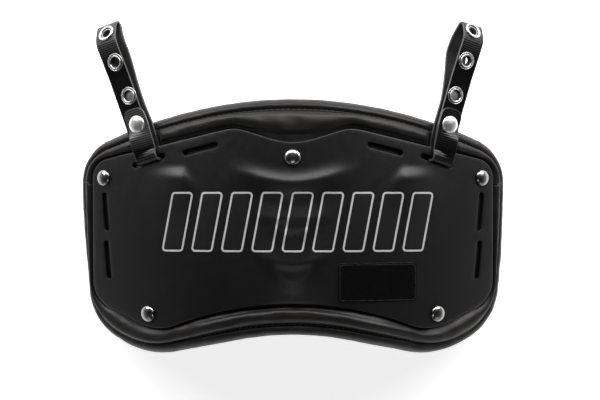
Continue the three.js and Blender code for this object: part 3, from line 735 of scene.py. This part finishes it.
def make_strap(strap):
    name, side = strap["name"], strap["side"]
    line, length = strap_curve(strap, 420)
    tangent = np.gradient(line, length, axis=0)
    tangent /= np.linalg.norm(tangent, axis=1, keepdims=True)
    out = np.stack([-tangent[:, 1], tangent[:, 0]], 1)
    total = length[-1]
    half = STRAP["width"] / 2
    basis, origin = strap_frame(strap)
    turn = length[np.argmax(line[:, 0])]
    lean = math.radians(STRAP["fold_tilt"])

    def lift(v, s, level):
        s = np.clip(s, 0, total)
        px, py, nx, ny = (np.interp(s, length, row) for row in (*line.T, *out.T))
        # level 0 is half the thickness off the middle line
        deep = np.asarray(level, float) + STRAP["thickness"] / 2
        # the front layer comes down a little outside the tab, and the back layer bows towards the middle
        slip = side * strap["slip"] * np.clip((s - turn) / (total - turn), 0, 1)
        bow = -side * STRAP["bow"] * np.exp(-((s - turn + STRAP["bow_reach"]) / STRAP["bow_reach"]) ** 2)
        # near the slot the tab turns up at its outer edge
        twist = math.radians(STRAP["twist"]) * smooth((s - 14) / 12) * smooth((42 - s) / 8)
        far = v + side * half
        across = v - far * (1 - np.cos(twist)) + slip + np.where(s < turn, bow, bow * np.exp(-(s - turn) / 4))
        lifted = np.abs(far) * np.sin(twist)
        # the fold lies a little further up, along its own lean
        up = (strap["rise"] + strap["skew"] * v) * np.exp(-((s - turn) / STRAP["fold_reach"]) ** 2)
        local = np.stack([drift(strap, px) + across, px + nx * deep + up * math.cos(lean),
                          py + ny * deep - up * math.sin(lean) + lifted], -1)
        return local @ basis.T + origin

    # the flat plan has v across and s along, and is round at the tab's tip
    tip = STRAP["tip"]
    tip_curve = rounded_path([(half, 9, 0), (half, 0.0, tip), (-half, 0.0, tip), (-half, 9, 0)], False, 0.7)
    ring = np.vstack([tip_curve, [(-half, total), (half, total)]])
    outer = evenly(ring, int((2 * total + 40) / 0.9))
    # holes of the eyelets, where their spots fall on the flat plan
    holes = []
    for _, spot in eyelet_spots(strap):
        local = basis.T @ (spot - origin)
        d = np.hypot(line[:, 0] - local[1], line[:, 1] - local[2])
        k = int(np.argmin(np.where(np.arange(len(d)) > 0.5 * len(d), d, 1e9)))
        slip = side * strap["slip"] * (length[k] - turn) / (total - turn)
        v = local[0] - float(drift(strap, line[k, 0])) - slip
        holes.append(circle(v, length[k], EYELET["barrel"] + 0.05, 36))
    # the tab, the roll and the fold take painted highlights, and the crease above the roll painted shade
    webbing = strap_material("webbing_" + name, 0.0012, 0.0055, 0.24, 0.30, 0.6, tab=strap["tab"], fold=turn,
                             fold_highlight=strap["fold_highlight"])
    obj = shell("strap_web_" + name, outer, holes, lift, STRAP["thickness"], 1.15, 0.45, M_LINING,
                others=[webbing, M_EDGE_HIGHLIGHT])
    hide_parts("strap_" + name)
    return obj


# Metal pieces

def dome(radius, height, base):
    return [(radius * math.cos(a), base + height * math.sin(a))
            for a in np.linspace(0, math.pi / 2, 13)[:-1]] + [(0, base + height)]


def make_rivets():
    pieces = []
    r, shank, foot = RIVET["radius"], RIVET["shank"], -PLATE["thickness"]
    profile = [(0, foot), (shank, foot), (shank, GAP), (r * 0.94, GAP), (r, GAP + 0.35)]
    profile += dome(r, RIVET["height"], GAP + 0.55)
    for name, place in RIVETS.items():
        basis, origin = frame_on(*plate_place(*place))
        obj = lathe(name + "_dome", profile, basis, origin, 64, M_RIVET)
        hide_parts(name)
        pieces.append(obj)
    return pieces


def make_caps(strap):
    half = STRAP["thickness"] / 2
    top = half + 0.05
    foot = -3 * half - 2 * GAP
    r, post, base = SNAP["radius"], SNAP["post"], SNAP["base"]
    basis, origin = strap_spot(strap, CAP_AT * STRAP["loop"] + 0.01, True)
    profile = [(0, foot - 0.9), (base, foot - 0.9), (base, foot), (post, foot), (post, top)]
    profile += [(r * share, top + rise) for share, rise in CAP_RIM]
    profile += dome(r * 0.985, SNAP["height"] - 0.1, top + 0.95)
    obj = lathe("snap_dome_" + strap["name"], profile, basis, origin, 72, M_CAP)
    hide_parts("snap_cap_" + strap["name"])
    return obj


def make_eyelets(strap):
    half = STRAP["thickness"] / 2
    top = half + 0.02
    f, hole, barrel = EYELET["flange_radius"], EYELET["hole"], EYELET["barrel"] - 0.1
    base = -half - GAP - EYELET["flange"]
    pieces = []
    for i, (basis, origin) in enumerate(eyelet_spots(strap)):
        # the socket on the fold is one broad ring
        rim, dark = (BROAD_RIM, 0.69) if i == 0 else (DOUBLE_RIM, 0.58)

        # faces in the hole and in the groove between the rings take the painted shade
        def in_painted_shade(r, z, edge=f * dark):
            return r < edge or (0.755 < r / f < 0.845 and z < top + 0.3)

        profile = [(hole, base), (f * 0.70, base), (f * 0.72, base + 0.3), (f * 0.68, -half - 0.05),
                   (barrel, -half), (barrel, top), (f * 0.92, top)]
        profile += [(f * share, top + rise) for share, rise in rim]
        profile += [(f * 0.51, top - 0.6), (hole, -half), (hole, base)]
        obj = lathe("socket_%s_%d" % (strap["name"], i + 1), bevelled(profile, 0.1, 2), basis, origin, 64, M_SNAP,
                    second=(M_SOCKET_SHADE, in_painted_shade))
        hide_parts("eyelet_%s_%d" % (strap["name"], i + 1))
        pieces.append(obj)
        if i == 2:
            floor = [(hole * 1.16, -0.2), (hole * 1.12, 0.2), (hole * 0.6, 0.42), (0, 0.45)]
            pieces.append(lathe("socket_floor_" + strap["name"], floor, basis, origin, 48, M_SOCKET))
    return pieces


# Cushion

def crossing(path, towards):
    """Where the line from the middle towards a point meets a closed path."""
    side = np.roll(path, -1, 0) - path
    across = towards[0] * side[:, 1] - towards[1] * side[:, 0]
    reach = (path[:, 0] * side[:, 1] - path[:, 1] * side[:, 0]) / across
    share = (path[:, 0] * towards[1] - path[:, 1] * towards[0]) / across
    ok = (reach > 0) & (share >= 0) & (share <= 1)
    return towards * reach[ok].min()


def along_curve(points, count):
    """A smooth curve through points, by length."""
    p = np.array(points, float)
    p = np.vstack([2 * p[0] - p[1], p, 2 * p[-1] - p[-2]])
    out = []
    for i in range(1, len(p) - 2):
        for t in np.linspace(0, 1, 12, endpoint=False):
            a, b, c, d = p[i - 1:i + 3]
            out.append(0.5 * (2 * b + (c - a) * t + (2 * a - 5 * b + 4 * c - d) * t * t
                              + (3 * b - a - 3 * c + d) * t ** 3))
    out.append(p[-2])
    return evenly(np.array(out), count, closed=False)


def strap_room(points):
    """Presses the cover down where a strap's back layer lies on it."""
    for strap in STRAPS:
        basis, origin = strap_frame(strap)
        local = (points - origin) @ basis
        up = local[:, 1]
        v = local[:, 0] - drift(strap, up)
        under = -PLATE["thickness"] - STRAP["slack"] - STRAP["thickness"] - 2 * GAP - 0.15
        wide = STRAP["width"] / 2 + 1.0
        limit = under + np.maximum(0, np.abs(v) - wide) * 1.3
        near = (up > -4) & (up < 0.55 * STRAP["loop"]) & (np.abs(v) < wide + 6)
        low = np.where(near, np.minimum(local[:, 2], limit), local[:, 2])
        points = points + basis[:, 2] * (low - local[:, 2])[:, None]
    return points


def ring_faces(rows, n):
    """Faces of a grid of rings, closed by a point before the first ring and one after the last."""
    faces = []
    for i in range(n):
        j = (i + 1) % n
        faces.append((0, 1 + j, 1 + i))
        faces += [(1 + r * n + i, 1 + r * n + j, 1 + (r + 1) * n + j, 1 + (r + 1) * n + i)
                  for r in range(rows - 1)]
        faces.append((1 + (rows - 1) * n + i, 1 + (rows - 1) * n + j, 1 + rows * n))
    return faces


def make_cushion():
    """The cover as rings round the plate's middle: glued part, swell, seam, rolled rim and back."""
    stations = evenly(outline(PAD_CORNERS, PAD["half_width"], PAD["half_height"], 2), 260)
    plate_edge = plate_outline()
    inner = np.array([crossing(plate_edge, p) for p in stations])
    front = -PLATE["thickness"] - GAP
    back = front - PAD["thickness"]
    # each ring has its place in the plan, its height over the form and how firmly it is held
    rings = [(inner * share, front - 0.25, 1.0) for share in (0.2, 0.4, 0.6, 0.78, 0.92, 1.0)]
    rings += [(inner + (stations - inner) * share, front + rise * PAD["bulge"], 0.15)
              for share, rise in along_curve(SWELL, 10)]
    rings.append((stations, front - PAD["seam"], 1.0))
    outward = sideways(stations)
    slope = normal_of(form_height, *stations.T)
    tilt = slope[:, 0] * outward[:, 0] + slope[:, 1] * outward[:, 1]
    shrink = np.sqrt(1 - tilt ** 2)
    # the rim is fuller along the lower sides
    low_side = np.exp(-((stations[:, 1] + 36.0) / 35.0) ** 2) * np.sign(stations[:, 0])
    more = 0.9 * np.abs(outward[:, 1]) + low_side * np.where(stations[:, 0] > 0, 1.4, 1.0) * np.abs(outward[:, 0])
    for out, down in along_curve(RIM, 20)[1:]:
        wide = out * PAD["roll"] * shrink + max(out, 0) * more
        rings.append((stations + outward * wide[:, None], front - down * PAD["thickness"], 0.2))
    last = stations - outward * (0.9 * PAD["roll"] * shrink)[:, None]
    rings += [(last * share, back, 0.6 if share > 0.8 else 1.0) for share in (0.9, 0.76, 0.6, 0.4, 0.2)]
    n = len(stations)
    points = np.vstack([on_form(0.0, 0.0, front - 0.25), *(on_form(*q.T, out) for q, out, _ in rings),
                        on_form(0.0, 0.0, back)])
    held = np.concatenate([[1.0], np.repeat([pin for _, _, pin in rings], n), [1.0]])
    points = inflate(points, ring_faces(len(rings), n), held, n)
    grid = refined(points[1:-1].reshape(len(rings), n, 3))
    points = sewn(np.vstack([points[:1], grid.reshape(-1, 3), points[-1:]]), stations, front)
    obj = new_object("cushion_cover", points, ring_faces(*grid.shape[:2]), M_COVER)
    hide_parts("pad")
    return [obj, stitches(stations, front)]


def refined(grid):
    """A ring grid with a smooth ring and a smooth station put in between each two."""
    before, here, after, beyond = (np.roll(grid, k, 1) for k in (1, 0, -1, -2))
    middle = (9 * (here + after) - before - beyond) / 16
    wide = np.stack([here, middle], 2).reshape(len(grid), -1, 3)
    ends = np.concatenate([2 * wide[:1] - wide[1:2], wide, 2 * wide[-1:] - wide[-2:-1]])
    middle = (9 * (ends[1:-2] + ends[2:-1]) - ends[:-3] - ends[3:]) / 16
    out = np.empty((2 * len(wide) - 1, wide.shape[1], 3))
    out[0::2] = wide
    out[1::2] = middle
    return out


def softened(move, n, keep):
    """Evens a move out along the stations, and keeps a share of its small folds."""
    grid = move.reshape(-1, n, 3)
    reach = np.arange(-15, 16)
    weight = np.exp(-(reach / 6.0) ** 2)
    weight /= weight.sum()
    even = sum(w * np.roll(grid, k, 1) for k, w in zip(reach, weight))
    return (even + keep * (grid - even)).reshape(-1, 3)


def inflate(points, faces, weights, n):
    """Blows the cover's free band up like a filled cushion, held along its seam and where it is glued."""
    faces = [f for f in faces if min(weights[v] for v in f) < 0.99]
    used = sorted({v for f in faces for v in f})
    place = {v: k for k, v in enumerate(used)}
    mesh = bpy.data.meshes.new("band")
    mesh.from_pydata(((points[used] + SHIFT) * MM).tolist(), [], [tuple(place[v] for v in f) for f in faces])
    band = bpy.data.objects.new("band", mesh)
    bpy.context.scene.collection.objects.link(band)
    group = band.vertex_groups.new(name="held")
    held = np.round(weights[used], 2)
    for level in sorted(set(held)):
        group.add([int(k) for k in np.nonzero(held == level)[0]], float(level), "REPLACE")
    cloth = band.modifiers.new("filling", "CLOTH")
    for key, value in CLOTH.items():
        setattr(cloth.settings, key, value)
    cloth.settings.vertex_group_mass = group.name
    cloth.settings.effector_weights.gravity = 0.0
    cloth.collision_settings.use_collision = False
    cloth.collision_settings.use_self_collision = False
    scene = bpy.context.scene
    for frames in (scene, cloth.point_cache):
        frames.frame_start = 1
        frames.frame_end = FILLING["frames"]
    for f in range(1, FILLING["frames"] + 1):
        scene.frame_set(f)
    shape = band.evaluated_get(bpy.context.evaluated_depsgraph_get())
    move = np.zeros_like(points)
    move[used] = points_of(shape.data) / MM - SHIFT - points[used]
    move[1:-1] = softened(move[1:-1], n, FILLING["folds_kept"])
    bpy.data.objects.remove(band)
    bpy.data.meshes.remove(mesh)
    scene.frame_set(1)
    far = np.linalg.norm(move, axis=1, keepdims=True)
    return points + move * np.minimum(1.0, FILLING["cap"] / np.maximum(far, 1e-6))


def sewn(p, stations, front):
    """Draws the cover in along its seam, puckers it there, and keeps it off the plate and the straps."""
    fine = evenly(stations, 2400)
    line = on_form(*fine.T, front - PAD["seam"])
    tree = tree_of(line)
    found = [tree.find(q) for q in p]
    nearest = np.array([f[1] for f in found])
    away = np.array([f[2] for f in found])
    total = np.linalg.norm(np.roll(line, -1, 0) - line, axis=1).sum()
    s = nearest / len(line) * total
    rng = np.random.default_rng(5)
    pucker = np.zeros(len(p))
    waves = 26
    for _ in range(waves):
        cycles = rng.integers(int(total / 16), int(total / 5))
        pucker += np.sin(2 * math.pi * cycles * s / total + rng.uniform(0, 6.28)) / waves ** 0.5
    slow = np.sin(2 * math.pi * 5 * s / total + 1.0) * 0.35 + 0.65
    normal = normal_of(form_height, *p[:, :2].T)
    fade = np.exp(-((away - 3.2) / 3.4) ** 2)
    p = p + normal * (SEAM["pucker"] * pucker * slow * fade)[:, None]
    p = p - normal * (SEAM["draw"] * np.exp(-(away / 1.5) ** 2))[:, None]
    # long soft dents of the filling
    soft = np.zeros(len(p))
    waves = 10
    for _ in range(waves):
        f = rng.uniform(0.02, 0.06, 2)
        soft += np.sin(p[:, 0] * f[0] * 6.28 + p[:, 1] * f[1] * 6.28 + rng.uniform(0, 6.28)) / waves ** 0.5
    p = p + normal * (SEAM["dents"] * soft * np.clip((away - 2) / 8, 0, 1))[:, None]
    # it stays under the plate
    level = (p[:, 2] - form_height(*p[:, :2].T)) * normal[:, 2]
    under = inside(inset(turned_left(plate_outline()), -0.7), p[:, :2]) & (level > -PLATE["thickness"] - 12)
    down = np.where(under, np.minimum(level, -PLATE["thickness"] - GAP), level)
    return strap_room(p + normal * (down - level)[:, None])


def stitches(stations, front):
    """The seam's thread: short stitches that dip into the cover at both ends."""
    ring = evenly(stations, 4000)
    line = on_form(*ring.T, front - PAD["seam"] - 0.35)
    step = np.linalg.norm(np.roll(line, -1, 0) - line, axis=1)
    length = np.concatenate([[0], np.cumsum(step)])[:-1]
    normal = normal_of(form_height, *ring.T)
    count = round(step.sum() / SEAM["stitch"])
    points, faces = [], []
    sides, steps = 6, 7
    for k in range(count):
        base = len(points)
        for i in range(steps):
            t = i / (steps - 1)
            at = (k + 0.16 + 0.68 * t) * step.sum() / count
            j = int(np.searchsorted(length, at)) % len(line)
            centre = line[j] + normal[j] * (0.5 * math.sin(math.pi * t) - 0.05)
            ahead = line[(j + 3) % len(line)] - line[j - 3]
            ahead /= np.linalg.norm(ahead)
            side = np.cross(ahead, normal[j])
            r = SEAM["thread"] * (0.35 + 0.65 * math.sin(math.pi * t))
            for a in np.linspace(0, 2 * math.pi, sides, endpoint=False):
                points.append(centre + (side * math.cos(a) + normal[j] * math.sin(a)) * r)
        for i in range(steps - 1):
            low, high = base + i * sides, base + (i + 1) * sides
            faces += [(low + c, low + (c + 1) % sides, high + (c + 1) % sides, high + c) for c in range(sides)]
        faces.append(tuple(base + c for c in reversed(range(sides))))
        faces.append(tuple(base + (steps - 1) * sides + c for c in range(sides)))
    return new_object("seam_thread", points, faces, M_THREAD)


# The object

def on_ground(obj):
    """Keeps a piece's points just above the floor, which the soft rims rest on."""
    points = points_of(obj.data)
    points[:, 2] = np.maximum(points[:, 2], CLEARANCE * MM)
    obj.data.vertices.foreach_set("co", points.ravel())
    obj.data.update()


pieces = [make_plate()]
pieces += make_label()
pieces += make_panels()
pieces += make_rivets()
for strap in STRAPS:
    pieces += [make_strap(strap), make_caps(strap)]
    pieces += make_eyelets(strap)
pieces += make_cushion()
for piece in pieces:
    on_ground(piece)
    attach(piece, "root")


# Floor, light and camera

def make_floor():
    m, s, co = material("pale_floor", Roughness=0.9, Specular_IOR_Level=0.1, Emission_Color=(1, 1, 1, 1),
                        Emission_Strength=0.75)
    vary(m, s, "Base Color", noise(m, co, 3.0, 2.0), 0.2, 0.8, (grey(0.90), grey(0.92)))
    mesh = bpy.data.meshes.new("floor")
    size = 6.0
    mesh.from_pydata([(-size, -size, 0), (size, -size, 0), (size, size, 0), (-size, size, 0)], [], [(0, 1, 2, 3)])
    mesh.materials.append(m)
    floor = bpy.data.objects.new("floor", mesh)
    bpy.context.scene.collection.objects.link(floor)


def area_light(name, place, towards, size, power):
    data = bpy.data.lights.new(name, "AREA")
    data.shape = "RECTANGLE"
    data.size, data.size_y = size
    data.energy = power
    obj = bpy.data.objects.new(name, data)
    bpy.context.scene.collection.objects.link(obj)
    obj.location = place
    obj.rotation_euler = (Vector(towards) - Vector(place)).to_track_quat("-Z", "Y").to_euler()


make_floor()
area_light("key_middle", (0.1, 1.35, 1.05), (0, 0, 0.05), (1.7, 0.6), 26)
area_light("key_left", (-1.2, 1.1, 0.72), (0, 0, 0.05), (1.0, 0.6), 18)
area_light("key_right", (1.2, 1.1, 0.72), (0, 0, 0.05), (1.0, 0.6), 18)
area_light("panel_left", (-1.0, -1.25, 0.7), (0, 0, 0.05), (0.9, 0.6), 0.9)
area_light("panel_right", (1.0, -1.25, 0.7), (0, 0, 0.05), (0.9, 0.6), 1.0)
area_light("low_middle", (0, -0.85, 1.75), (0, -0.05, 0.05), (0.6, 0.3), 1.8)

# a sky that is pale at the horizon and dark above
world = bpy.data.worlds.new("studio")
bpy.context.scene.world = world
world.use_nodes = True
background = fill(world.node_tree.nodes["Background"], Strength=0.5)
split = node(world, "ShaderNodeSeparateXYZ")
link(world, node(world, "ShaderNodeTexCoord"), "Generated", split, "Vector")
link(world, ramp(world, split, "Z", 0.10, 0.45, (grey(0.7), grey(0.015))), "Color", background, "Color")
bpy.context.scene.view_settings.view_transform = "Standard"

camera_data = bpy.data.cameras.new("camera")
camera = bpy.data.objects.new("camera", camera_data)
bpy.context.scene.collection.objects.link(camera)
camera.location = (0.0058, -0.0119, 2.0)
camera.rotation_euler = (0, 0, 0)
camera_data.sensor_width = 36.0
camera_data.lens = 143.9
camera_data.clip_start = 0.05
camera_data.clip_end = 50.0
bpy.context.scene.camera = camera
